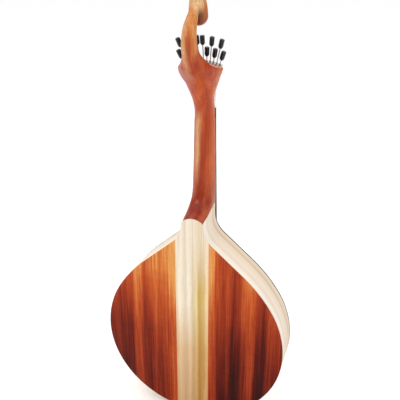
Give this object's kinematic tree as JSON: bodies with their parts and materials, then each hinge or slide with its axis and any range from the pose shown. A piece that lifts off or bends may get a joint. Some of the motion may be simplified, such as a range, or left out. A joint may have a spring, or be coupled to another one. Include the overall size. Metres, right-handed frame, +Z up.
{
  "type": "portuguese guitar",
  "caption": "Pear-shaped flat-backed lute-guitar with a carved teardrop headstock and a fan tuner whose screws pull string hooks.",
  "frame": {"origin": "on the plane of symmetry, on the glue face of the fingerboard, at the nut line", "axes": "+Z up along the neck towards the headstock, +Y from the soundboard out of the back, +X to the right as seen from the front"},
  "size_m": [0.35, 0.1076, 0.813],
  "materials": {
    "neck_mahogany": "oiled, satin sheen",
    "red_wing_wood": "striped red-brown, semi-gloss",
    "pale_strip_wood": "semi-gloss",
    "pale_rib_wood": "satin",
    "spruce": "satin",
    "dark_hardwood": "satin",
    "rosette_inlay": "satin inlay",
    "bone": "polished bone",
    "pearl": "mother of pearl",
    "nickel_silver": "polished",
    "brass": "polished",
    "string_steel": "bright drawn",
    "black_knob": "gloss"
  },
  "bodies": {
    "root": {"neck": "neck_mahogany", "fingerboard": "dark_hardwood", "frets": "nickel_silver", "position_dots": "pearl", "nut": "bone", "soundboard": "spruce", "rosette": "rosette_inlay", "soundboard_binding": "dark_hardwood", "back_center_strip": "pale_strip_wood", "back_wing_left": "red_wing_wood", "back_wing_right": "red_wing_wood", "rib_left": "pale_rib_wood", "rib_right": "pale_rib_wood", "linings": "spruce", "tail_block": "neck_mahogany", "soundboard_braces": "spruce", "back_braces": "spruce", "bridge": "dark_hardwood", "saddle": "bone", "tailpiece": "nickel_silver", "tailpiece_screws": "nickel_silver", "fan_plate": "nickel_silver", "fan_plate_screws": "brass", "strings": "string_steel"},
    "screw_01": {"tuning_screw_01": "string_steel", "screw_knob_01": "black_knob"},
    "hook_01": {"string_hook_01": "string_steel"},
    "screw_02": {"tuning_screw_02": "string_steel", "screw_knob_02": "black_knob"},
    "hook_02": {"string_hook_02": "string_steel"},
    "screw_03": {"tuning_screw_03": "string_steel", "screw_knob_03": "black_knob"},
    "hook_03": {"string_hook_03": "string_steel"},
    "screw_04": {"tuning_screw_04": "string_steel", "screw_knob_04": "black_knob"},
    "hook_04": {"string_hook_04": "string_steel"},
    "screw_05": {"tuning_screw_05": "string_steel", "screw_knob_05": "black_knob"},
    "hook_05": {"string_hook_05": "string_steel"},
    "screw_06": {"tuning_screw_06": "string_steel", "screw_knob_06": "black_knob"},
    "hook_06": {"string_hook_06": "string_steel"},
    "screw_07": {"tuning_screw_07": "string_steel", "screw_knob_07": "black_knob"},
    "hook_07": {"string_hook_07": "string_steel"},
    "screw_08": {"tuning_screw_08": "string_steel", "screw_knob_08": "black_knob"},
    "hook_08": {"string_hook_08": "string_steel"},
    "screw_09": {"tuning_screw_09": "string_steel", "screw_knob_09": "black_knob"},
    "hook_09": {"string_hook_09": "string_steel"},
    "screw_10": {"tuning_screw_10": "string_steel", "screw_knob_10": "black_knob"},
    "hook_10": {"string_hook_10": "string_steel"},
    "screw_11": {"tuning_screw_11": "string_steel", "screw_knob_11": "black_knob"},
    "hook_11": {"string_hook_11": "string_steel"},
    "screw_12": {"tuning_screw_12": "string_steel", "screw_knob_12": "black_knob"},
    "hook_12": {"string_hook_12": "string_steel"}
  },
  "joints": [
    {"name": "screw_turn_01", "type": "hinge", "parent": "root", "child": "screw_01", "pos_m": [-0.03146, 0.01883, 0.07767], "axis": [0.3576, -0.273, -0.8931], "range_deg": [-1801, 3601]},
    {"name": "screw_turn_02", "type": "hinge", "parent": "root", "child": "screw_02", "pos_m": [-0.02602, 0.01938, 0.07947], "axis": [0.2957, -0.2793, -0.9135], "range_deg": [-1801, 3601]},
    {"name": "screw_turn_03", "type": "hinge", "parent": "root", "child": "screw_03", "pos_m": [-0.02047, 0.01983, 0.08093], "axis": [0.2326, -0.2844, -0.9301], "range_deg": [-1801, 3601]},
    {"name": "screw_turn_04", "type": "hinge", "parent": "root", "child": "screw_04", "pos_m": [-0.01483, 0.02016, 0.08203], "axis": [0.1685, -0.2882, -0.9426], "range_deg": [-1801, 3601]},
    {"name": "screw_turn_05", "type": "hinge", "parent": "root", "child": "screw_05", "pos_m": [-0.00912, 0.02039, 0.08278], "axis": [0.1037, -0.2908, -0.9512], "range_deg": [-1801, 3601]},
    {"name": "screw_turn_06", "type": "hinge", "parent": "root", "child": "screw_06", "pos_m": [-0.00338, 0.02051, 0.08317], "axis": [0.0384, -0.2922, -0.9556], "range_deg": [-1801, 3601]},
    {"name": "screw_turn_07", "type": "hinge", "parent": "root", "child": "screw_07", "pos_m": [0.00338, 0.02051, 0.08317], "axis": [-0.0384, -0.2922, -0.9556], "range_deg": [-1801, 3601]},
    {"name": "screw_turn_08", "type": "hinge", "parent": "root", "child": "screw_08", "pos_m": [0.00912, 0.02039, 0.08278], "axis": [-0.1037, -0.2908, -0.9512], "range_deg": [-1801, 3601]},
    {"name": "screw_turn_09", "type": "hinge", "parent": "root", "child": "screw_09", "pos_m": [0.01483, 0.02016, 0.08203], "axis": [-0.1685, -0.2882, -0.9426], "range_deg": [-1801, 3601]},
    {"name": "screw_turn_10", "type": "hinge", "parent": "root", "child": "screw_10", "pos_m": [0.02047, 0.01983, 0.08093], "axis": [-0.2326, -0.2844, -0.9301], "range_deg": [-1801, 3601]},
    {"name": "screw_turn_11", "type": "hinge", "parent": "root", "child": "screw_11", "pos_m": [0.02602, 0.01938, 0.07947], "axis": [-0.2957, -0.2793, -0.9135], "range_deg": [-1801, 3601]},
    {"name": "screw_turn_12", "type": "hinge", "parent": "root", "child": "screw_12", "pos_m": [0.03146, 0.01883, 0.07767], "axis": [-0.3576, -0.273, -0.8931], "range_deg": [-1801, 3601]},
    {"name": "hook_travel_01", "type": "slide", "parent": "root", "child": "hook_01", "axis": [-0.3576, 0.273, 0.8931], "range_m": [-0.004, 0.008], "deforming": ["strings"]},
    {"name": "hook_travel_02", "type": "slide", "parent": "root", "child": "hook_02", "axis": [-0.2957, 0.2793, 0.9135], "range_m": [-0.004, 0.008], "deforming": ["strings"]},
    {"name": "hook_travel_03", "type": "slide", "parent": "root", "child": "hook_03", "axis": [-0.2326, 0.2844, 0.9301], "range_m": [-0.004, 0.008], "deforming": ["strings"]},
    {"name": "hook_travel_04", "type": "slide", "parent": "root", "child": "hook_04", "axis": [-0.1685, 0.2882, 0.9426], "range_m": [-0.004, 0.008], "deforming": ["strings"]},
    {"name": "hook_travel_05", "type": "slide", "parent": "root", "child": "hook_05", "axis": [-0.1037, 0.2908, 0.9512], "range_m": [-0.004, 0.008], "deforming": ["strings"]},
    {"name": "hook_travel_06", "type": "slide", "parent": "root", "child": "hook_06", "axis": [-0.0384, 0.2922, 0.9556], "range_m": [-0.004, 0.008], "deforming": ["strings"]},
    {"name": "hook_travel_07", "type": "slide", "parent": "root", "child": "hook_07", "axis": [0.0384, 0.2922, 0.9556], "range_m": [-0.004, 0.008], "deforming": ["strings"]},
    {"name": "hook_travel_08", "type": "slide", "parent": "root", "child": "hook_08", "axis": [0.1037, 0.2908, 0.9512], "range_m": [-0.004, 0.008], "deforming": ["strings"]},
    {"name": "hook_travel_09", "type": "slide", "parent": "root", "child": "hook_09", "axis": [0.1685, 0.2882, 0.9426], "range_m": [-0.004, 0.008], "deforming": ["strings"]},
    {"name": "hook_travel_10", "type": "slide", "parent": "root", "child": "hook_10", "axis": [0.2326, 0.2844, 0.9301], "range_m": [-0.004, 0.008], "deforming": ["strings"]},
    {"name": "hook_travel_11", "type": "slide", "parent": "root", "child": "hook_11", "axis": [0.2957, 0.2793, 0.9135], "range_m": [-0.004, 0.008], "deforming": ["strings"]},
    {"name": "hook_travel_12", "type": "slide", "parent": "root", "child": "hook_12", "axis": [0.3576, 0.273, 0.8931], "range_m": [-0.004, 0.008], "deforming": ["strings"]}
  ],
  "couplings": [
    {"joint": "screw_turn_01", "follows": "hook_travel_01", "rad_per_m": 7854},
    {"joint": "screw_turn_02", "follows": "hook_travel_02", "rad_per_m": 7854},
    {"joint": "screw_turn_03", "follows": "hook_travel_03", "rad_per_m": 7854},
    {"joint": "screw_turn_04", "follows": "hook_travel_04", "rad_per_m": 7854},
    {"joint": "screw_turn_05", "follows": "hook_travel_05", "rad_per_m": 7854},
    {"joint": "screw_turn_06", "follows": "hook_travel_06", "rad_per_m": 7854},
    {"joint": "screw_turn_07", "follows": "hook_travel_07", "rad_per_m": 7854},
    {"joint": "screw_turn_08", "follows": "hook_travel_08", "rad_per_m": 7854},
    {"joint": "screw_turn_09", "follows": "hook_travel_09", "rad_per_m": 7854},
    {"joint": "screw_turn_10", "follows": "hook_travel_10", "rad_per_m": 7854},
    {"joint": "screw_turn_11", "follows": "hook_travel_11", "rad_per_m": 7854},
    {"joint": "screw_turn_12", "follows": "hook_travel_12", "rad_per_m": 7854}
  ]
}
